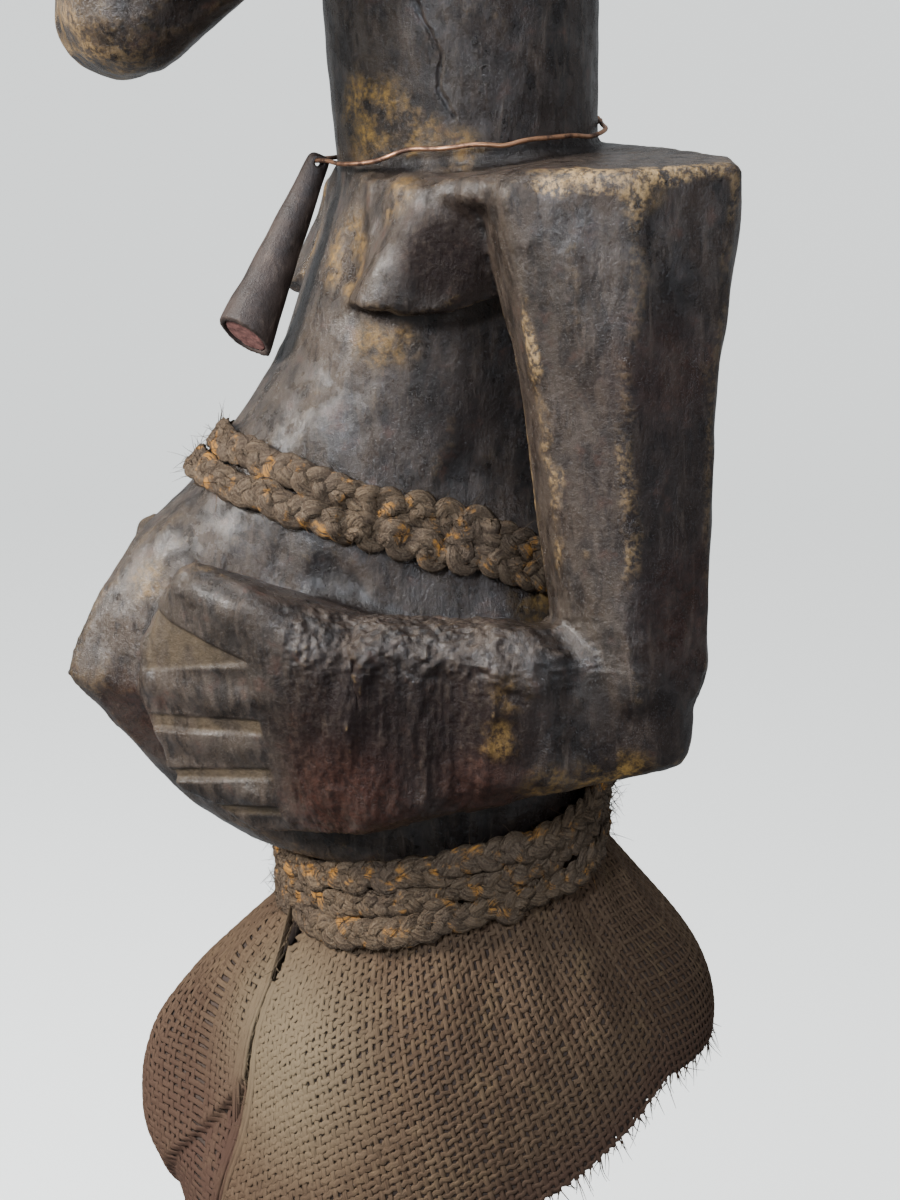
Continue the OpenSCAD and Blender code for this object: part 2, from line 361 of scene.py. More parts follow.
def modify(piece, kind, **settings):
    """Applies one modifier to a piece's mesh."""
    modifier = piece.modifiers.new(kind, kind)
    for name, value in settings.items():
        setattr(modifier, name, value)
    depsgraph = bpy.context.evaluated_depsgraph_get()
    depsgraph.update()
    made = bpy.data.meshes.new_from_object(piece.evaluated_get(depsgraph))
    piece.modifiers.clear()
    old, piece.data = piece.data, made
    bpy.data.meshes.remove(old)


def subdivide_where(piece, mask):
    """Halves the edges whose two ends are both in the mask."""
    work = bmesh.new()
    work.from_mesh(piece.data)
    work.verts.ensure_lookup_table()
    edges = [e for e in work.edges if mask[e.verts[0].index] and mask[e.verts[1].index]]
    bmesh.ops.subdivide_edges(work, edges=edges, cuts=1, use_grid_fill=True)
    work.to_mesh(piece.data)
    work.free()


def folded(points):
    """x, y and z in figure millimetres, with the right side turned over onto the left."""
    x, y, z = (points / U).T
    return np.abs(x), y, z


def near(points, centre, size):
    """1 at a place on the figure and 0 beyond size from it; both sides alike."""
    off = np.stack(folded(points), axis=1) - centre
    return ramp(np.linalg.norm(off / size, axis=1), 1.0, 0.35)


# The grooves between the fingers: height at the knuckles, slope and half width.
FINGER_GROOVES = ((273.2, -0.11, 1.5), (262.3, -0.16, 1.1), (253.6, -0.16, 1.0))
FINGER_WIDTH = 11
GROOVE_DEPTH = 0.85


def hand_carving(points, normals):
    """The fingers' grooves and the hollow under the thumb: depth, and how tan it is."""
    x, y, z = folded(points)
    along = -0.84 * (x - 48) - 0.54 * (y + 57)  # from the knuckles along the fingers
    facing = np.abs(normals[:, 0]) * 0.65 - normals[:, 1] * 0.73 - normals[:, 2] * 0.24
    on_hand = (ramp(facing, 0.45, 0.7) * ramp(along, -1.0, 0.8) * ramp(along, 34, 31)
               * ramp(x, 14, 17) * ramp(z, 243, 247) * ramp(z, 306, 300))
    trench = np.zeros(len(points))
    for top, slope, half in FINGER_GROOVES:
        off = np.abs(z - (top + slope * along))
        trench = np.maximum(trench, ramp(off, half + 0.7, half - 0.4))
    hollow = (ramp(z - (287.3 - 0.19 * along), -0.3, 0.9)
              * ramp(z - (288.6 + 0.27 * along), 0.4, -0.9))
    cut = np.maximum(trench, hollow) * on_hand
    crown = (on_hand * 0.45 * np.cos((z - 267.5) / FINGER_WIDTH * 2 * np.pi)
             * ramp(z, 287, 283))
    return crown * (1 - cut) - GROOVE_DEPTH * cut, cut


def breast_carving(points):
    """The hollow where the breast rises from the chest."""
    return -2.0 * near(points, (27, -26, 374), 16)


def forearm_carving(points):
    """The wrist's crest, the bracelet, chisel strokes in front and bark-like wood on top."""
    x, y, z = folded(points)
    arm = (ramp(x, 44, 50) * ramp(z, 246, 251) * ramp(z, 302, 296) * ramp(y, -54, -46)
           * ramp(y, 34, 26))
    front = arm * ramp(y, -10, -16)
    stroke = noise(np.stack([x, y, z * 0.22], axis=1), 1.5, 31)
    stroke += 0.6 * noise(np.stack([x, y, z * 0.4], axis=1), 0.8, 37)
    offset = front * stroke * 0.30
    crest = ramp(np.abs(y + 40 - 0.25 * (z - 272)), 4.5, 0.5) * ramp(x, 48, 54)
    offset += 1.1 * crest * arm * ramp(z, 252, 262) * ramp(z, 296, 288)
    band = y - 0.10 * (z - 276) + 6.5
    bracelet = ramp(band, -5.4, -3.6) * ramp(band, 6.5, 3.0) * arm
    bracelet *= 0.75 + 0.35 * noise(np.stack([x, y * 0.5, z], axis=1), 4.0, 43)
    offset += 0.8 * bracelet
    rough = np.stack([x, y * 0.8, z], axis=1)
    crust = noise(rough, 1.5, 41) + 0.8 * noise(rough, 0.8, 42)
    offset += 0.34 * crust * arm * ramp(z, 279, 289) * ramp(y, 2, -8)
    grain = noise(np.stack([x * 0.4, y * 0.3, z * 1.3 + 0.8 * np.sin(y / 3)], axis=1), 1.2, 44)
    return offset + 0.25 * grain * arm * ramp(y, -4, 2) * ramp(z, 280, 288)


# Corners of the crack down the left of the neck, in figure millimetres.
CRACK = np.array([(25.5, -15, 425), (26.5, -13, 420), (28, -9.5, 413), (27.5, -10, 406),
                  (28.5, -6.5, 400)])


def crack_distance(points):
    """Distance in figure millimetres from the wavering line of the crack."""
    best = np.full(len(points), 99.0)
    p = points / U
    for a, b in zip(CRACK[:-1], CRACK[1:]):
        t = np.clip((p - a) @ (b - a) / ((b - a) @ (b - a)), 0, 1)
        best = np.minimum(best, np.linalg.norm(p - a - t[:, None] * (b - a), axis=1))
    return best + 0.35 * noise(p, 1.4, 61) + 0.25 * noise(p * (1, 1, 0.4), 3.0, 62)


CUT_STRETCH = (1, 1, 0.55)  # the adze's cuts are longer up than across
CUT_DEPTH = 0.8 * MM
ROWS_AT_ONCE = 4000


def facets(points, normals, rng, count, size, amount):
    """Flattens the surface into the shallow cuts of an adze."""
    pick = rng.choice(len(points), count, replace=False)
    seeds, lean = points[pick], normals[pick]

    def keys(p, n):
        return np.hstack([p * CUT_STRETCH / size, n * 1.6]).astype(np.float32)

    key = keys(seeds, lean)
    offset = np.empty(len(points))
    for start in range(0, len(points), ROWS_AT_ONCE):
        part = slice(start, start + ROWS_AT_ONCE)
        mine = keys(points[part], normals[part])
        apart = (mine ** 2).sum(1)[:, None] + (key ** 2).sum(1)[None] - 2 * mine @ key.T
        best = apart.argmin(axis=1)
        offset[part] = ((points[part] - seeds[best]) * lean[best]).sum(axis=1)
    return points - np.clip(offset, -CUT_DEPTH, CUT_DEPTH)[:, None] * amount * normals


# Marks on the wood: for each kind, their places in figure millimetres, reach and strength.
MARKS = {
    "ochre": (((16, -22, 400), 14, 1.0), ((24, -16, 398), 9, 0.9), ((28, -5, 393), 7, 0.5),
              ((16, -30, 372), 12, 0.9), ((36, -22, 384), 8, 0.8), ((24, -28, 366), 6, 0.7),
              ((29, -25, 352), 7, 0.5), ((34, -20, 352), 6, 0.5), ((72, 16, 262), 12, 1.0),
              ((70, -6, 284), 6, 0.5), ((70, -8, 274), 6, 0.55), ((69, 2, 263), 8, 0.6),
              ((37, 10, 297), 9, 0.6), ((0, -80, 412), 24, 0.6), ((12, -74, 300), 8, 0.4),
              ((76, 18, 386), 7, 0.5)),
    "rubbed": (((72, 6, 386), 14, 1.0), ((77, 26, 388), 16, 1.0), ((58, -1, 360), 22, 0.8),
               ((60, 5, 320), 28, 0.8), ((71, 1, 263), 16, 1.0), ((70, -10, 276), 13, 1.0),
               ((60, -40, 272), 18, 0.9), ((53, -52, 290), 10, 0.9), ((75, 28, 268), 14, 0.7),
               ((0, -82, 412), 26, 0.8), ((40, -62, 298), 10, 0.6)),
    "red": (((58, -38, 256), 22, 0.9), ((66, -10, 262), 14, 0.7), ((77, 32, 300), 20, 0.5),
            ((10, -75, 268), 15, 0.6), ((76, 24, 350), 16, 0.4)),
    # The last kind darkens: dark crusted wood on the forearms, and painted shade beside the
    # breasts under the shoulders, between the arms and the body, and on the upper arms' far side.
    "soot_and_shade": (((56, -36, 274), 26, 1.0), ((64, -14, 274), 24, 1.0), ((74, 22, 272), 18, 0.5),
              ((46, -14, 372), 15, 1.0), ((76, 24, 330), 40, 0.4), ((40, -6, 336), 16, 0.5))}


def paint_masks(mesh, edges, tan):
    """Point attributes that the wood's material reads."""
    points, normals = get_points(mesh), get_normals(mesh)
    fine = ((points - smoothed(points, edges, 6)) * normals).sum(axis=1)
    wide = ((points - smoothed(points, edges, 26)) * normals).sum(axis=1)
    bulge = smoothed(fine / (0.22 * MM) + wide / (0.9 * MM), edges, 1)
    add_attribute(mesh, "edge_wear", np.clip(bulge, 0, 1.5))
    add_attribute(mesh, "hollow", np.clip(-bulge, 0, 1.5))
    for name, places in MARKS.items():
        total = np.zeros(len(points))
        for centre, size, strength in places:
            np.maximum(total, strength * near(points, centre, size), out=total)
        add_attribute(mesh, name, total)
    add_attribute(mesh, "tan", tan)
    add_attribute(mesh, "crack", ramp(crack_distance(points), 0.75, 0.25))


def wood_material():
    g = Graph("carved_wood")
    place = g.place()
    wear, hollow, ochre, rubbed, red, soot_and_shade, tan, crack = map(g.attribute, (
        "edge_wear", "hollow", "ochre", "rubbed", "red", "soot_and_shade", "tan", "crack"))
    broad = g.noise(place, 30 * MM, 5)
    patch = g.noise(place, 7 * MM, 6, 0.65)
    speck = g.noise(place, 1.5 * MM, 6, 0.72)
    grit = g.noise(place, 0.5 * MM, 4, 0.7)
    streak = g.noise(g.stretched(place, (1, 1, 0.22)), 3.0 * MM, 6, 0.72, 0.5)
    mottle = g.noise(g.stretched(place, (1, 1, 0.5)), 5 * MM, 6, 0.7)
    furrow = g.noise(g.stretched(place, (1, 1, 0.16)), 1.6 * MM, 5, 0.7)
    # Partly dust and partly painted sheen: paler on what faces up and forwards, where the key and
    # top lights fall.
    facing = g.node("SeparateXYZ", {0: g.node("NewGeometry", {}).outputs["Normal"]}).outputs
    dust_and_sheen = g.ramp(g.math("SUBTRACT", g.times(facing[2], 0.5), facing[1]), -0.1, 1.0)
    g.between(g.ramp(broad, 0.35, 0.65), (0.013, 0.0085, 0.0068), (0.033, 0.022, 0.017))
    g.over(g.ramp(mottle, 0.46, 0.60, 0, 0.85), (0.006, 0.004, 0.0035))
    dust_and_sheen_share = g.times(dust_and_sheen, g.ramp(mottle, 0.60, 0.40, 0.25, 1.0))
    g.over(g.times(dust_and_sheen_share, 0.52), (0.088, 0.067, 0.048))
    g.over(g.ramp(streak, 0.50, 0.74, 0, 0.6), (0.105, 0.078, 0.060))
    g.over(g.ramp(furrow, 0.54, 0.68, 0, 0.7), (0.010, 0.0065, 0.005))
    g.over(g.ramp(patch, 0.56, 0.72, 0, 0.55), (0.070, 0.030, 0.018))
    # Dark crust on the forearms; elsewhere these marks are painted shade, beside the breasts,
    # under the arms and on the upper arms' far side.
    soot_and_shade_share = g.times(soot_and_shade, g.ramp(speck, 0.40, 0.66, 1.0, 0.35))
    g.over(soot_and_shade_share, (0.012, 0.0065, 0.0055))
    reddened = g.times(red, g.ramp(speck, 0.35, 0.65, 0.2, 0.9))
    g.over(reddened, (0.048, 0.018, 0.012))
    tone_shift = g.times(g.times(ochre, g.ramp(patch, 0.40, 0.62)),
                    g.ramp(speck, 0.36, 0.60, 0.1, 1.0))
    g.over(tone_shift, (0.32, 0.185, 0.050))
    worn = g.times(g.ramp(wear, 0.45, 1.2), g.ramp(speck, 0.42, 0.60))
    worn = g.times(worn, g.times(g.math("ADD", rubbed, 0.15), g.ramp(patch, 0.3, 0.55)), True)
    g.over(worn, (0.36, 0.23, 0.10))
    bare = g.times(tan, g.ramp(patch, 0.35, 0.6, 0.15, 0.70))
    g.over(bare, (0.088, 0.062, 0.034))
    dark = g.times(g.ramp(hollow, 0.25, 1.2, 0, 0.85), g.math("SUBTRACT", 1.0, tan))
    g.over(dark, (0.010, 0.007, 0.006))
    pores = g.ramp(grit, 0.60, 0.72, 0, 0.65)
    g.over(pores, (0.009, 0.006, 0.005))
    g.over(crack, (0.006, 0.004, 0.004))
    bump = g.bump(speck, 0.75, 0.7 * MM)
    bump = g.bump(streak, 0.60, 0.7 * MM, bump)
    bump = g.bump(grit, 0.55, 0.2 * MM, bump)
    chalky = g.math("MAXIMUM", tone_shift, tan)
    roughness = g.math("ADD", g.ramp(patch, 0.3, 0.7, 0.20, 0.40), g.times(chalky, 0.25))
    roughness = g.math("ADD", roughness, g.times(soot_and_shade, 0.15))
    roughness = g.math("ADD", roughness, g.times(pores, 0.3), True)
    coat = g.times(g.times(g.ramp(patch, 0.42, 0.60), 0.50), g.math("SUBTRACT", 1.0, soot_and_shade))
    matt = g.math("MAXIMUM", soot_and_shade, red)
    g.shade({"Specular IOR Level": g.ramp(matt, 0.0, 1.0, 0.30, 0.12),
             "Coat Weight": g.times(coat, g.math("SUBTRACT", 1.0, chalky)),
             "Coat Roughness": 0.16,
             "Coat Normal": g.bump(streak, 0.5, 0.5 * MM, g.bump(speck, 0.5, 0.4 * MM))})
    return g.finish(roughness, bump)


def fine_places(points):
    """Where the carving needs a finer mesh: hands, forearms, breasts and face."""
    x, y, z = folded(points)
    arms = (z > 244) & (z < 306) & (x > 14) & (y < 36) & ((x > 45) | (y < -46))
    breasts = (z > 354) & (z < 392) & (y < -2) & (x > 24)
    face = (z > 430) & (y < -40)
    return arms | breasts | face | (crack_distance(points) < 3)


def very_fine_places(points):
    """Where it needs a finer one still: the left hand and forearm, and the crack."""
    x, y, z = folded(points)
    hand = (z > 246) & (z < 304) & (x > 15) & (y < -40)
    forearm = (z > 249) & (z < 303) & (x > 46) & (y < 8)
    return ((hand | forearm) & (points[:, 0] > 0)) | (crack_distance(points) < 1.8)


def carve_figure():
    rng = np.random.default_rng(12)
    piece = merged_copy("carved_figure", "carved_wood_figure")
    modify(piece, "REMESH", mode="VOXEL", voxel_size=WOOD_VOXEL)
    mesh = piece.data
    set_points(mesh, smoothed(get_points(mesh), get_edges(mesh), 3))
    cut = facets(get_points(mesh), get_normals(mesh), rng, count=2600, size=7.5 * MM,
                 amount=0.75)
    set_points(mesh, smoothed(cut, get_edges(mesh), 1, 0.4))
    subdivide_where(piece, fine_places(get_points(piece.data)))
    subdivide_where(piece, very_fine_places(get_points(piece.data)))
    mesh = piece.data
    edges = get_edges(mesh)
    points = smoothed(get_points(mesh), edges, 2)
    set_points(mesh, points)
    normals = get_normals(mesh)
    fingers, tan = hand_carving(points, normals)
    offset = (fingers + breast_carving(points) + forearm_carving(points)) * U
    offset += 0.12 * MM * noise(points * (1, 1, 0.6), 5 * MM, 11)
    offset += 0.10 * MM * noise(points * (1, 1, 0.5), 2.0 * MM, 13)
    offset -= 0.5 * U * ramp(crack_distance(points), 0.8, 0.2)
    set_points(mesh, points + normals * offset[:, None])
    shade_smooth(mesh)
    paint_masks(mesh, edges, tan)
    mesh.materials.clear()
    mesh.materials.append(wood_material())
    declare(piece, "figure", "carved_figure")


# ---------------------------------------------------------------- strands

def array_mesh(name, points, quads, columns):
    """An object from arrays of points and four-cornered faces, with named point attributes."""
    mesh = bpy.data.meshes.new(name)
    mesh.vertices.add(len(points))
    mesh.vertices.foreach_set("co", points.ravel())
    mesh.loops.add(quads.size)
    mesh.loops.foreach_set("vertex_index", quads.ravel())
    mesh.polygons.add(len(quads))
    mesh.polygons.foreach_set("loop_start", np.arange(0, quads.size, 4))
    mesh.polygons.foreach_set("use_smooth", np.ones(len(quads), dtype=bool))
    mesh.update(calc_edges=True)
    mesh.validate()
    for column, values in columns.items():
        add_attribute(mesh, column, values)
    piece = bpy.data.objects.new(name, mesh)
    scene.collection.objects.link(piece)
    return piece


def unit_rows(rows):
    return rows / np.maximum(np.linalg.norm(rows, axis=1, keepdims=True), 1e-12)


class Strands:
    """Gathers tubes swept along paths into one mesh. Each keeps where its points lie
    round and along the strand, and one tint."""

    def __init__(self):
        self.points, self.quads, self.count = [], [], 0
        self.round, self.along, self.tint = [], [], []

    def add(self, path, outward, half_width, half_depth, sides=6, closed=False, tint=0.5,
            ridges=0, ridge_depth=0.0, twist=0.0):
        n = len(path)
        if closed:
            ahead = unit_rows(np.roll(path, -1, axis=0) - np.roll(path, 1, axis=0))
        else:
            ahead = unit_rows(np.gradient(path, axis=0))
        across = unit_rows(np.cross(outward, ahead))
        out = np.cross(ahead, across)
        steps = np.linalg.norm(np.diff(path, axis=0), axis=1)
        along = np.concatenate([[0], np.cumsum(steps)])
        turn = 2 * np.pi * np.arange(sides) / sides
        swell = 1 + ridge_depth * np.cos(ridges * turn[None, :] + twist * along[:, None])
        wide = np.broadcast_to(half_width, n)[:, None] * np.cos(turn) * swell
        deep = np.broadcast_to(half_depth, n)[:, None] * np.sin(turn) * swell
        points = (path[:, None] + wide[..., None] * across[:, None]
                  + deep[..., None] * out[:, None])
        first = np.arange(n if closed else n - 1)[:, None] * sides
        after = (first + sides) % (n * sides)
        k, m = np.arange(sides), (np.arange(sides) + 1) % sides
        quads = np.stack([first + k, first + m, after + m, after + k], axis=-1).reshape(-1, 4)
        if not closed:
            cap = np.array([(j, sides - 1 - j, sides - 2 - j, j + 1)
                            for j in range(sides // 2 - 1)])
            quads = np.concatenate([quads, cap, cap[:, ::-1] + (n - 1) * sides])
        self.points.append(points.reshape(-1, 3))
        self.quads.append(quads + self.count)
        self.count += n * sides
        self.round.append(np.tile(turn, n))
        self.along.append(np.repeat(along, sides))
        self.tint.append(np.repeat(np.broadcast_to(tint, n), sides))

    def build(self, name):
        return array_mesh(name, np.concatenate(self.points), np.concatenate(self.quads), {
            "round": np.concatenate(self.round), "along": np.concatenate(self.along),
            "tint": np.concatenate(self.tint)})


def hair(strands, rng, start, direction, length, radius):
    """One thin curved fibre, thinner towards its tip."""
    steps = np.linspace(0, 1, 6)[:, None]
    direction = direction / np.linalg.norm(direction)
    bend = unit_rows(rng.normal(size=(1, 3))) * 0.3
    path = start + length * (direction * steps + bend * steps ** 2)
    outward = np.broadcast_to(np.cross(direction, bend), path.shape)
    width = radius * (1.05 - 0.8 * steps[:, 0])
    strands.add(path, outward, width, width, sides=4, tint=rng.uniform(0, 1))


def surface_tree(node):
    """A search tree over a CAD node's surface."""
    work = bmesh.new()
    work.from_mesh(frame["nodes"][node].data)
    tree = BVHTree.FromBMesh(work)
    work.free()
    return tree


# ---------------------------------------------------------------- the belts

BRAID_SAMPLES = 900
BRAID_THICKNESS = 3.3 * MM
BRAID_WAVER = 2.2 * MM
STRAND_SIDES = 14


def ring_line(node, count):
    """The centre line of a ring-shaped CAD node, as points evenly spaced in angle."""
    points = get_points(frame["nodes"][node].data)
    centre = points.mean(axis=0)
    flat = points[:, :2] - centre[:2]
    angle = np.arctan2(flat[:, 0], -flat[:, 1])
    wanted = 2 * np.pi * np.arange(count) / count
    apart = np.angle(np.exp(1j * (angle[None, :] - wanted[:, None])))
    weight = np.exp(-(apart / radians(3)) ** 2)
    weight /= weight.sum(axis=1, keepdims=True)
    r = weight @ np.linalg.norm(flat, axis=1)
    return np.stack([centre[0] + r * np.sin(wanted), centre[1] - r * np.cos(wanted),
                     weight @ points[:, 2]], axis=1)


def evenly(path, count):
    """A closed path resampled at equal distances."""
    loop = np.vstack([path, path[:1]])
    walked = np.concatenate([[0], np.cumsum(np.linalg.norm(np.diff(loop, axis=0), axis=1))])
    wanted = np.linspace(0, walked[-1], count, endpoint=False)
    return np.stack([np.interp(wanted, walked, loop[:, k]) for k in range(3)], axis=1)


def line_smoothed(values, rounds):
    for _ in range(rounds):
        values[1:-1] = 0.5 * values[1:-1] + 0.25 * (values[:-2] + values[2:])
    return values


def loop_smoothed(rows, rounds):
    for _ in range(rounds):
        rows = 0.5 * rows + 0.25 * (np.roll(rows, 1, axis=0) + np.roll(rows, -1, axis=0))
    return rows


def plait(strands, path, outward, width, thick, pitch, rng, closed=True):
    """Three flat strands plaited along a path."""
    n = len(path)
    turns = n * np.linalg.norm(np.diff(path, axis=0), axis=1).mean() / pitch
    if closed:
        turns = round(turns)
        ahead = np.roll(path, -1, axis=0) - np.roll(path, 1, axis=0)
    else:
        ahead = np.gradient(path, axis=0)
    across = unit_rows(np.cross(outward, unit_rows(ahead)))
    phase = 2 * np.pi * turns * np.arange(n) / n
    for k in range(3):
        p = phase + 2 * np.pi * k / 3
        uneven = 1 + 0.10 * np.sin(phase * 3 / turns + 5 * k) + 0.06 * np.sin(phase * 0.5 + k)
        line = (path + across * (0.29 * width * np.sin(p))[:, None]
                + outward * (0.15 * thick * np.sin(2 * p))[:, None])
        strands.add(line, outward, 0.27 * width * uneven, 0.22 * thick * uneven,
                    sides=STRAND_SIDES, closed=closed, tint=rng.uniform(0.2, 0.8),
                    ridges=6, ridge_depth=0.13, twist=1100)


def braid_path(node, tree):
    """The line of a braid pressed against the surface in tree, and its outward side."""
    path = evenly(ring_line(node, 360), BRAID_SAMPLES)
    near = np.array([tuple(tree.find_nearest(Vector(p))[0]) for p in path])
    outward = unit_rows(loop_smoothed(path - near, 40))
    return loop_smoothed(path, 6), outward


def add_braid(node, tree, width, pitch, seed, material, sink):
    """A plait along a CAD belt, sunk a little towards the surface in tree, with loose hairs."""
    rng = np.random.default_rng(seed)
    path, outward = braid_path(node, tree)
    path = path - outward * sink
    path[:, 2:] += loop_smoothed(rng.normal(size=(len(path), 1)), 60) * BRAID_WAVER
    strands = Strands()
    plait(strands, path, outward, width, BRAID_THICKNESS, pitch, rng)
    ahead = unit_rows(np.roll(path, -1, axis=0) - path)
    for i in rng.integers(0, len(path), 260):
        side = np.cross(ahead[i], outward[i]) * rng.uniform(-1, 1)
        start = path[i] + side * width * 0.45 + outward[i] * BRAID_THICKNESS * 0.3
        direction = ahead[i] * rng.uniform(-1, 1) + outward[i] * 0.35 + side * 0.7
        hair(strands, rng, start, direction, rng.uniform(2, 6) * MM, 0.09 * MM)
    piece = strands.build("plait_" + node)
    piece.data.materials.append(material)
    declare(piece, "figure", node)


def fibre_material():
    g = Graph("plant_fibre")
    place = g.place()
    streak = g.noise(g.strand_place(round=2.2, along=160.0, tint=40.0), 0.9, 4, 0.7)
    broad = g.noise(place, 14 * MM, 4)
    spot = g.noise(place, 5 * MM, 4, 0.6)
    fine = g.noise(place, 0.5 * MM, 3, 0.7)
    g.between(g.ramp(streak, 0.32, 0.68), (0.034, 0.021, 0.013), (0.140, 0.094, 0.056))
    g.over(g.ramp(broad, 0.40, 0.64, 0, 0.6), (0.072, 0.050, 0.036))
    g.over(g.ramp(fine, 0.45, 0.70, 0, 0.5), (0.20, 0.155, 0.105))
    orange = g.times(g.ramp(spot, 0.54, 0.66), g.ramp(streak, 0.40, 0.60))
    g.over(g.times(orange, 0.95), (0.42, 0.190, 0.035))
    g.shade({"Specular IOR Level": 0.2})
    return g.finish(g.ramp(streak, 0.3, 0.7, 0.90, 0.65),
                    g.bump(fine, 0.9, 0.3 * MM, g.bump(streak, 1.0, 0.9 * MM)))


def add_knot(node, width, material, seed, tails):
    """Strands wrapped round all the braids at the back, with two short frayed tails."""
    rng = np.random.default_rng(seed)
    centre = middle(node)
    low, high = box(node)
    half_height = (high[2] - low[2]) / 2
    strands = Strands()
    for k in (-1.5, -0.5, 0.5, 1.5):
        t = np.linspace(0, 2 * np.pi, 90, endpoint=False)
        loop = np.stack([centre[0] + k * width * 0.34 + 0.35 * k * 1.5 * MM * np.sin(t),
                         centre[1] - 0.2 * MM + (high[1] - low[1]) * 0.34 * np.cos(t),
                         centre[2] + half_height * 0.80 * np.sin(t)], axis=1)
        strands.add(loop, unit_rows(loop - centre + 1e-6), width * 0.24, width * 0.17,
                    sides=STRAND_SIDES, closed=True, tint=rng.uniform(0.2, 0.8), ridges=5,
                    ridge_depth=0.1, twist=900)
    for side in tails:
        t = np.linspace(0, 1, 60)
        tail = np.stack([centre[0] + side * (2.5 + 9 * t) * MM,
                         high[1] - 2.2 * MM - 1.6 * MM * t,
                         centre[2] - half_height * 0.3 - 9 * MM * t], axis=1)
        back = np.broadcast_to(np.array([0, 1.0, 0]), tail.shape)
        plait(strands, tail, back, width * 0.8, width * 0.42, 8 * MM, rng, closed=False)
        for _ in range(26):
            start = tail[-1] + rng.normal(size=3) * (0.8, 0.3, 0.4) * MM
            direction = rng.normal(size=3) * (0.35, 0.2, 0.3) - (0, 0, 1)
            hair(strands, rng, start, direction, rng.uniform(2, 4) * MM, 0.12 * MM)
    piece = strands.build("tied_" + node)
    piece.data.materials.append(material)
    declare(piece, "figure", node)


def add_belts():
    material = fibre_material()
    for seed, belt, over, levels, width, pitch, sink, tails in (
            (20, "waist", "carved_figure", ("upper", "lower"), 6.7, 13, 1.3, (-1, 1)),
            (40, "hip", "skirt_cloth", ("upper", "middle", "lower"), 6.3, 12.5, 1.0,
             (-1, -0.3))):
        tree = surface_tree(over)
        for k, level in enumerate(levels):
            add_braid(f"{belt}_braid_{level}", tree, width * MM, pitch * MM, seed + k,
                      material, sink * MM)
        add_knot(f"{belt}_knot", (width - 0.3) * MM, material, seed + 11, tails)


# ---------------------------------------------------------------- the skirt

THREAD_PITCH = 1.95 * MM
THREAD_SWING = 0.11 * MM  # how far a thread goes in and out of the weave
THREAD_RIDGES = {"ridges": 3, "twist": 1500}
SKIRT_LEAN = radians(0.26) / MM  # how far the upright threads lean round the body
WEAVE_HEIGHT = 140 * MM  # more than the cloth's height anywhere
BACKING_DEPTH = 0.32 * MM  # how far the backing lies behind the middle of the threads
ANGLES = 720
ANGLE_STEP = radians(360) / ANGLES
HEIGHT_STEP = 1 * MM
PANEL_SPLIT = radians(14.3)  # the cloth's two front edges meet near this angle


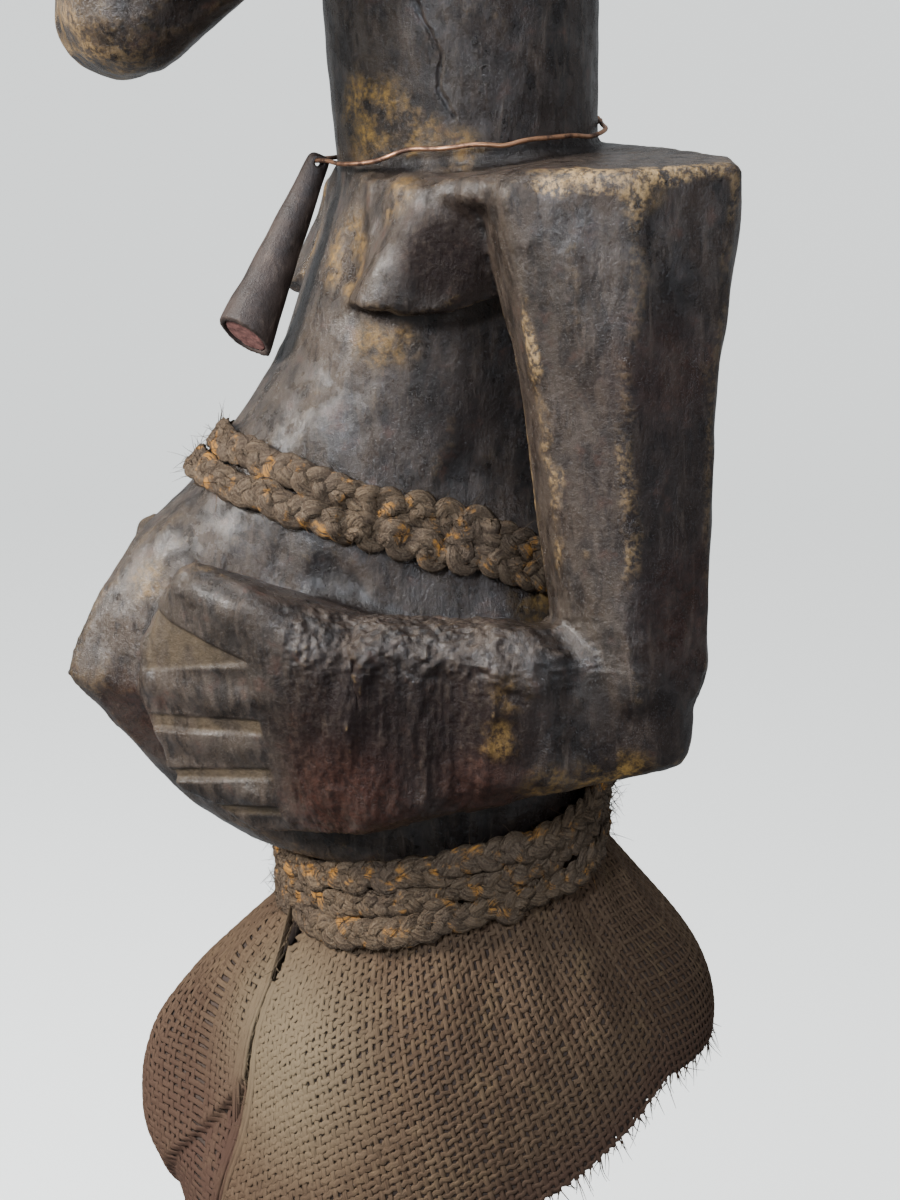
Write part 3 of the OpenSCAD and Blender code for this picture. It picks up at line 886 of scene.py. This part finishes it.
class SkirtSurface:
    """The middle of the CAD cloth, as a radius for each angle round the body and height."""

    def __init__(self):
        tree = surface_tree("skirt_cloth")
        low, high = box("skirt_cloth")
        self.heights = np.arange(low[2] + 0.3 * MM, high[2], HEIGHT_STEP)
        self.angles = ANGLE_STEP * np.arange(ANGLES)
        shape = (len(self.heights), ANGLES)
        radius = np.full(shape, np.nan)
        for j, z in enumerate(self.heights):
            origin = Vector((0, 0, z))
            for i, a in enumerate(self.angles):
                aim = Vector((math.sin(a), -math.cos(a), 0))
                inner = tree.ray_cast(origin, aim)
                if inner[0] is None:
                    continue
                outer = tree.ray_cast(inner[0] + aim * 0.05 * MM, aim)
                if outer[0] is not None:
                    radius[j, i] = inner[3] + (outer[3] + 0.05 * MM) / 2
        self.solid = ~np.isnan(radius)
        columns = [self.heights[column] for column in self.solid.T]
        self.hem, self.top = (np.array([column[end] if len(column) else np.nan
                                        for column in columns]) for end in (0, -1))
        self.fill(self.hem)
        self.fill(self.top)
        for i in range(ANGLES):
            known = self.solid[:, i]
            if known.any():
                radius[~known, i] = np.interp(self.heights[~known], self.heights[known],
                                              radius[known, i])
        for row in radius:
            self.fill(row)
        for _ in range(14):
            radius = 0.5 * radius + 0.25 * (np.roll(radius, 1, 1) + np.roll(radius, -1, 1))
            inside = radius[1:-1].copy()
            radius[1:-1] = 0.5 * inside + 0.25 * (radius[:-2] + radius[2:])
        a, z = np.meshgrid(self.angles, self.heights)
        round_ = np.stack([np.sin(a), -np.cos(a), z / (60 * MM)], axis=-1).reshape(-1, 3)
        below_top = self.top[None, :] - z
        gathers = (ramp(below_top, 55 * MM, 16 * MM) * ramp(below_top, 4 * MM, 18 * MM)
                   * np.sin(17 * a + 2 * np.sin(3 * a)))
        radius = radius + 0.7 * MM * gathers + (
            1.1 * MM * noise(round_, 0.55, 8) + 0.4 * MM * noise(round_, 0.2, 9)
        ).reshape(shape) * ramp(below_top, 12 * MM, 30 * MM)
        radius -= 2.0 * MM * self.below_crease(a, z)
        self.radius = radius

    def fill(self, row):
        """Bridges the gaps in a row of values round the body."""
        known = ~np.isnan(row)
        row[~known] = np.interp(self.angles[~known], self.angles[known], row[known],
                                period=2 * np.pi)

    @staticmethod
    def below_crease(angle, z):
        """1 below the fold that runs down the right front panel, and 0 elsewhere."""
        angle = np.where(angle < PANEL_SPLIT, angle + 2 * np.pi, angle)
        crease = LOW[2] + 181 * MM - 70 * MM * (2 * np.pi + PANEL_SPLIT - angle)
        return ramp(crease - z, 0, 2 * MM) * ramp(angle, radians(312), radians(330))

    def opening(self, z):
        """The angles of the cloth's two free edges in front: the right one, then the left."""
        tried = np.linspace(0, radians(20), 161)
        bare = ~self.covered(tried[None], z[:, None])
        right = tried[bare.argmax(axis=1)]
        left = tried[len(tried) - 1 - bare[:, ::-1].argmax(axis=1)]
        return line_smoothed(right, 60), line_smoothed(left, 60)

    def lookup(self, table, angle, z):
        """A table's value between its nearest angles and heights."""
        j = np.clip((z - self.heights[0]) / HEIGHT_STEP, 0, len(self.heights) - 1.001)
        i = (angle / ANGLE_STEP) % ANGLES
        j0, i0 = np.floor(j).astype(int), np.floor(i).astype(int) % ANGLES
        fj, fi = j - j0, i - np.floor(i)
        i1 = (i0 + 1) % ANGLES
        return ((1 - fj) * ((1 - fi) * table[j0, i0] + fi * table[j0, i1])
                + fj * ((1 - fi) * table[j0 + 1, i0] + fi * table[j0 + 1, i1]))

    def along(self, row, angle):
        return np.interp(angle, self.angles, row, period=2 * np.pi)

    def point(self, angle, z):
        r = self.lookup(self.radius, angle, z)
        return np.stack([r * np.sin(angle), -r * np.cos(angle), z], axis=-1)

    def normal(self, angle, z):
        da, dz = radians(0.7), 0.8 * MM
        round_ = self.point(angle + da, z) - self.point(angle - da, z)
        rise = self.point(angle, z + dz) - self.point(angle, z - dz)
        return unit_rows(np.cross(round_, rise))

    def covered(self, angle, z):
        inside = (z >= self.heights[0] - MM) & (z <= self.heights[-1] + MM)
        return inside & (self.lookup(self.solid.astype(float), angle, z) > 0.5)

    def closeness(self, angle, z):
        """How closed the weave is: closest on the part that hangs over the left knee."""
        front = ramp(angle, radians(85), radians(35)) + ramp(angle, radians(320), radians(345))
        patch = noise(self.point(angle, z), 22 * MM, 5) * 0.45
        return np.clip(0.9 * front + patch, 0, 1)

    def tone_shift(self, points):
        """How much darker the cloth is drawn: along the hem, and as painted shade low on the right
        front panel, most below its crease.
        """
        angle = np.arctan2(points[:, 0], -points[:, 1]) % (2 * np.pi)
        above_hem = points[:, 2] - self.along(self.hem, angle)
        hem = 0.75 * ramp(above_hem, 16 * MM, 1 * MM)
        # Painted shade: the lower part of the right front panel, darker still below the crease.
        on_panel = np.maximum(ramp(angle, radians(300), radians(320)),
                              (angle < PANEL_SPLIT).astype(float))
        low_down = ramp(points[:, 2], LOW[2] + 205 * MM, LOW[2] + 165 * MM)
        panel = on_panel * low_down * (0.75 + 0.2 * self.below_crease(angle, points[:, 2]))
        return np.maximum(hem, panel)

    @staticmethod
    def pale(points):
        """How much paler the cloth is drawn, as painted light where the key light falls: palest
        over the left knee, just below the belt.
        """
        return ramp(np.linalg.norm((points / U - (30, -52, 195)) / (40, 30, 34), axis=1),
                    1.2, 0.2)


def runs(mask, least=4):
    """Slices of each unbroken stretch of a mask."""
    edges = np.flatnonzero(np.diff(np.concatenate([[0], mask.astype(int), [0]])))
    return [slice(a, b) for a, b in zip(edges[::2], edges[1::2]) if b - a >= least]


def weave(surface, rng):
    """The burlap's upright and level threads, and the fibres that fray at its cut edges."""
    # The upright threads are evenly spaced along the line round the body at mid height.
    ring = np.linspace(0, 2 * np.pi, 1441)
    line = surface.point(ring, np.full(len(ring), LOW[2] + 160 * MM))
    walked = np.concatenate([[0], np.cumsum(np.linalg.norm(np.diff(line, axis=0), axis=1))])
    count = 2 * round(walked[-1] / (2 * THREAD_PITCH))
    index = walked * count / walked[-1]

    def thread_angle(i):
        return np.interp(i % count, index, ring) + 2 * np.pi * np.floor(i / count)

    def thread_index(angle):
        whole = np.floor(angle / (2 * np.pi))
        return np.interp(angle % (2 * np.pi), ring, index) + count * whole

    def hem(angle):
        return surface.along(surface.hem, angle)

    def upright_index(angle, z):
        """Which upright thread a point lies on: where that thread meets the hem."""
        start = angle
        for _ in range(6):
            start = angle + SKIRT_LEAN * (z - hem(start))
        return thread_index(start)

    upright, level, fringe = Strands(), Strands(), Strands()

    def add_thread(threads, a, h, wave):
        n = surface.normal(a, h)
        path = surface.point(a, h) + n * wave[:, None]
        width = (0.56 + 0.34 * surface.closeness(a, h)) * MM * rng.uniform(0.88, 1.12)
        threads.add(path, n, width, 0.21 * MM, tint=rng.uniform(0, 1), ridge_depth=0.08,
                    **THREAD_RIDGES)
        return path

    for i in range(count):
        start = thread_angle(np.array(i + rng.normal() * 0.06))
        rise = np.arange(-1.2 * MM, WEAVE_HEIGHT, THREAD_PITCH / 4)
        z = hem(start) + rise
        drift = radians(0.22) * np.sin(rise / (8 * MM) + rng.uniform(0, 6))
        angle = start - SKIRT_LEAN * rise + drift
        for part in runs(surface.covered(angle, z)):
            a, h = angle[part], z[part]
            crossing = (h - hem(a)) / THREAD_PITCH - 0.5 + i
            path = add_thread(upright, a, h, THREAD_SWING * np.cos(np.pi * crossing))
            add_fray(fringe, rng, path)

    angle = thread_angle(thread_index(PANEL_SPLIT) + np.arange(0, count, 0.25))
    for j in range(int(WEAVE_HEIGHT / THREAD_PITCH)):
        drift = 0.10 * THREAD_PITCH * np.sin(9 * angle + rng.uniform(0, 6))
        z = hem(angle) + (j + 0.5 + rng.normal() * 0.05) * THREAD_PITCH + drift
        for part in runs(surface.covered(angle, z)):
            a, h = angle[part], z[part]
            add_thread(level, a, h,
                       -THREAD_SWING * np.cos(np.pi * (upright_index(a, h) + j)))
    return upright, level, fringe


def bind_opening(surface, rng, upright, fringe):
    """Two heavier threads along each front edge, with fibres that stick out of it.
    Gives the heights along the opening, and the angles of its right and left edges."""
    bottom, top = (surface.along(row, PANEL_SPLIT) for row in (surface.hem, surface.top))
    z = np.arange(bottom + 4 * MM, top - 17 * MM, 0.8 * MM)
    right, left = surface.opening(z)
    for edge, sign, half_width in ((right, -1, 0.6 * MM), (left, 1, 0.9 * MM)):
        for inward in (0.3 * MM, 1.2 * MM):
            at = edge + sign * inward / surface.lookup(surface.radius, edge, z)
            n = surface.normal(at, z)
            upright.add(surface.point(at, z) + n * 0.08 * MM, n, half_width, 0.5 * MM,
                        sides=8, tint=rng.uniform(0, 1), ridge_depth=0.1, **THREAD_RIDGES)
        line = surface.point(edge, z)
        outwards = unit_rows(surface.point(edge - sign * 0.02, z) - line)
        for k in rng.integers(0, len(z), 50):
            direction = outwards[k] * 0.8 + rng.normal(size=3) * 0.45
            hair(fringe, rng, line[k], direction, rng.uniform(1, 3) * MM, 0.10 * MM)
    return z[:-2], right[:-2], left[:-2]


def add_skirt():
    surface = SkirtSurface()
    rng = np.random.default_rng(7)
    upright, level, fringe = weave(surface, rng)
    opening = bind_opening(surface, rng, upright, fringe)
    threads = thread_material()
    for strands, name in ((upright, "burlap_upright_threads"), (level, "burlap_level_threads"),
                          (fringe, "burlap_frayed_edge")):
        piece = strands.build(name)
        points = get_points(piece.data)
        add_attribute(piece.data, "tone_shift", surface.tone_shift(points))
        add_attribute(piece.data, "pale", surface.pale(points))
        piece.data.materials.append(threads)
        declare(piece, "figure")
    cloth = add_backing(surface)
    add_underlap(surface, *opening)
    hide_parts("skirt_cloth")


def add_fray(fringe, rng, path):
    """Loose fibres where an upright thread ends at the hem."""
    down = -unit_rows(np.gradient(path, axis=0))[0]
    if rng.uniform() < 0.9:
        for _ in range(rng.integers(2, 6)):
            direction = down + rng.normal(size=3) * 0.35
            hair(fringe, rng, path[0] + rng.normal(size=3) * 0.2 * MM, direction,
                 rng.uniform(1.5, 6) * MM, 0.14 * MM)


def finish_sheet(sheet, thickness, pale):
    """Gives a sheet its thickness and its material."""
    modify(sheet, "SOLIDIFY", thickness=thickness, offset=0)
    sheet.data.materials.append(backing_material(sheet.name, pale))
    declare(sheet, "figure")
    return sheet


def add_backing(surface):
    """The cloth's sheet: a thin dark layer behind the threads, whose dark colour is painted shade
    seen through the holes of the weave.
    """
    angles = np.arange(0, 2 * np.pi, radians(1.5))
    rows = np.arange(surface.heights[0], surface.heights[-1], 1.5 * MM)
    a, z = (grid.ravel() for grid in np.meshgrid(angles, rows))
    points = surface.point(a, z) - surface.normal(a, z) * BACKING_DEPTH
    keep = surface.covered(a, z)
    n = len(angles)
    quads = [(j * n + i, j * n + (i + 1) % n, (j + 1) * n + (i + 1) % n, (j + 1) * n + i)
             for j in range(len(rows) - 1) for i in range(n)]
    cloth = mesh_object("burlap_cloth_shade_backing", points, [q for q in quads if all(keep[list(q)])])
    work = bmesh.new()
    work.from_mesh(cloth.data)
    bmesh.ops.delete(work, geom=[v for v in work.verts if not v.link_faces], context="VERTS")
    work.to_mesh(cloth.data)
    work.free()
    # Painted shade: the dark colour that shows through the weave's holes.
    return finish_sheet(cloth, 0.12 * MM, (0.040, 0.028, 0.020))


def add_underlap(surface, z, right, left):
    """The strip of the right panel that runs on behind the left panel's edge."""
    share = np.linspace(0, 1, 9)[None]
    angle = (right[:, None] - 0.04) * (1 - share) + (left[:, None] + 0.05) * share
    a, h = angle.ravel(), np.broadcast_to(z[:, None], angle.shape).ravel()
    points = surface.point(a, h) - surface.normal(a, h) * 1.1 * MM
    n = angle.shape[1]
    faces = [(j * n + i, j * n + i + 1, (j + 1) * n + i + 1, (j + 1) * n + i)
             for j in range(len(z) - 1) for i in range(n - 1)]
    return finish_sheet(mesh_object("burlap_underlap", points, faces), 0.3 * MM,
                        (0.060, 0.040, 0.029))


def burlap_tints(g):
    """The drift of colour that threads and backing share: broad, and in patches."""
    place = g.place()
    return g.noise(place, 30 * MM, 4), g.noise(place, 7 * MM, 5, 0.65)


def thread_material():
    g = Graph("burlap_thread")
    broad, patch = burlap_tints(g)
    tint, pale, tone_shift = map(g.attribute, ("tint", "pale", "tone_shift"))
    streak = g.noise(g.strand_place(round=1.5, along=300.0, tint=60.0), 0.9, 3, 0.7)
    g.between(g.ramp(streak, 0.25, 0.75), (0.038, 0.022, 0.013), (0.108, 0.069, 0.042))
    g.over(g.ramp(broad, 0.42, 0.62, 0, 0.6), (0.046, 0.026, 0.016))
    g.over(g.ramp(patch, 0.5, 0.75, 0, 0.45), (0.14, 0.095, 0.050))
    g.over(g.times(tint, 0.22), (0.17, 0.115, 0.070))
    # Painted light: paler over the left knee, just below the belt.
    g.over(g.times(pale, 0.6), (0.20, 0.155, 0.095))
    # Darker along the hem, and painted shade low on the right front panel.
    darker_hem_and_shade = g.times(tone_shift, g.ramp(patch, 0.25, 0.6, 0.5, 0.95))
    g.over(darker_hem_and_shade, (0.060, 0.032, 0.023))
    g.shade({"Specular IOR Level": 0.15})
    return g.finish(0.85, g.bump(streak, 0.8, 0.2 * MM))


def backing_material(name, pale):
    g = Graph(name)
    broad, patch = burlap_tints(g)
    # Dark tones; on the backing behind the threads they are painted shade, seen through the
    # weave's holes.
    g.between(g.ramp(broad, 0.35, 0.65), (0.034, 0.021, 0.015), (0.050, 0.032, 0.023))
    g.over(g.ramp(patch, 0.5, 0.72, 0, 0.6), pale)
    return g.finish(0.95, g.bump(patch, 0.5, 0.3 * MM))


# ---------------------------------------------------------------- the neck wire and pendant

def copper_material():
    g = Graph("copper_wire")
    place = g.place()
    dull = g.noise(place, 4 * MM, 5, 0.6)
    speck = g.noise(place, 0.8 * MM, 4, 0.7)
    g.between(g.ramp(dull, 0.4, 0.62), (0.52, 0.27, 0.15), (0.10, 0.055, 0.04))
    g.over(g.ramp(speck, 0.58, 0.7, 0, 0.7), (0.70, 0.43, 0.26))
    g.shade({"Metallic": 0.85})
    return g.finish(g.ramp(dull, 0.35, 0.65, 0.32, 0.6), g.bump(speck, 0.4, 0.08 * MM))


def add_wire():
    """The bent wire loop, and its ends twisted round each other behind the neck."""
    rng = np.random.default_rng(3)
    path = evenly(ring_line("neck_wire", 240), 400)
    path = path + loop_smoothed(rng.normal(size=(len(path), 3)), 120) * (2.0, 2.0, 4.0) * MM
    strands = Strands()
    strands.add(path, unit_rows(path - path.mean(axis=0)), 0.52 * MM, 0.50 * MM, sides=10,
                closed=True, tint=0.4)
    back = path[np.argmax(path[:, 1])]
    t = np.linspace(0, 1, 60)
    for phase in (0, np.pi):
        turn = 5 * np.pi * t + phase
        twist = back + np.stack([8 * t - 4, 0.5 * np.cos(turn), 0.5 * np.sin(turn) + t],
                                axis=1) * MM
        strands.add(twist, np.broadcast_to(np.array([0, 0, 1.0]), twist.shape), 0.45 * MM,
                    0.45 * MM, sides=8, tint=0.5)
    piece = strands.build("copper_neck_wire")
    piece.data.materials.append(copper_material())
    declare(piece, "neck_loop", "neck_wire")


PENDANT_LENGTH = 46 * MM
PENDANT_END_RADIUS = 6.8 * MM


def pendant_axis():
    """Where the pendant hangs, and the direction in which it hangs."""
    joints = frame["record"]["behaviour"]["joints"]
    hang = np.array(next(j for j in joints if j["name"] == "pendant_swing")["pos_m"])
    down = middle("pendant_plug") - hang
    return hang, down / np.linalg.norm(down)


def cut_askew(points):
    """The pendant's wide end is cut at a slant, shorter towards the front and the left."""
    hang, down = pendant_axis()
    along = (points - hang) @ down
    ahead = (points - hang) @ np.cross((1.0, 0, 0), down)
    drop = ((PENDANT_END_RADIUS + points[:, 0]) * 0.30
            + (PENDANT_END_RADIUS - ahead) * 0.26)
    share = ramp(along, PENDANT_LENGTH - 20 * MM, PENDANT_LENGTH - 4 * MM)
    return points - (drop * share)[:, None] * down


def pendant_part(node, name, voxel, rounds, lumps, material):
    """A CAD part of the pendant, cut askew and roughened: lumps gives how far it swells."""
    piece = merged_copy(node, name)
    modify(piece, "REMESH", mode="VOXEL", voxel_size=voxel)
    mesh = piece.data
    edges = get_edges(mesh)
    points = cut_askew(smoothed(get_points(mesh), edges, rounds))
    set_points(mesh, points)
    normals = get_normals(mesh)
    set_points(mesh, points + normals * lumps(points)[:, None])
    shade_smooth(mesh)
    bulge = ((points - smoothed(points, edges, 12)) * normals).sum(axis=1)
    add_attribute(mesh, "edge_wear", np.clip(bulge / (0.45 * MM), 0, 1.5))
    mesh.materials.clear()
    mesh.materials.append(material)
    declare(piece, "pendant", node)


def horn_lumps(points):
    return (0.16 * MM * noise(points * (1, 0.4, 0.25), 1.6 * MM, 9)
            + 0.14 * MM * noise(points, 5 * MM, 4))


def plug_lumps(points):
    return 0.12 * MM * noise(points, 1.5 * MM, 2)


def horn_material():
    g = Graph("dark_horn")
    place = g.place()
    grain = g.noise(g.stretched(place, (1, 0.35, 0.2)), 1.2 * MM, 5, 0.65)
    broad = g.noise(place, 8 * MM, 3)
    speck = g.noise(place, 0.7 * MM, 5, 0.7)
    wear = g.attribute("edge_wear")
    g.between(g.ramp(broad, 0.35, 0.65), (0.018, 0.012, 0.010), (0.044, 0.029, 0.023))
    g.over(g.ramp(grain, 0.5, 0.72, 0, 0.6), (0.12, 0.085, 0.065))
    g.over(g.ramp(speck, 0.55, 0.7, 0, 0.7), (0.016, 0.010, 0.009))
    g.over(g.ramp(wear, 0.5, 1.2, 0, 0.8), (0.30, 0.22, 0.18))
    g.shade({"Specular IOR Level": 0.35})
    return g.finish(g.ramp(broad, 0.3, 0.7, 0.45, 0.62),
                    g.bump(speck, 0.6, 0.25 * MM, g.bump(grain, 0.8, 0.4 * MM)))


def plug_material():
    g = Graph("red_plug")
    grain = g.noise(g.place(), 0.9 * MM, 5, 0.7)
    g.between(g.ramp(grain, 0.3, 0.7), (0.10, 0.035, 0.030), (0.27, 0.12, 0.10))
    return g.finish(0.7, g.bump(grain, 0.6, 0.2 * MM))


def add_pendant():
    pendant_part("pendant_horn", "horn_pendant", 0.42 * MM, 4, horn_lumps,
                 horn_material())
    pendant_part("pendant_plug", "horn_pendant_plug", 0.4 * MM, 2, plug_lumps,
                 plug_material())


add_camera()
add_stage()
add_lights()
carve_figure()
add_belts()
add_skirt()
add_wire()
add_pendant()
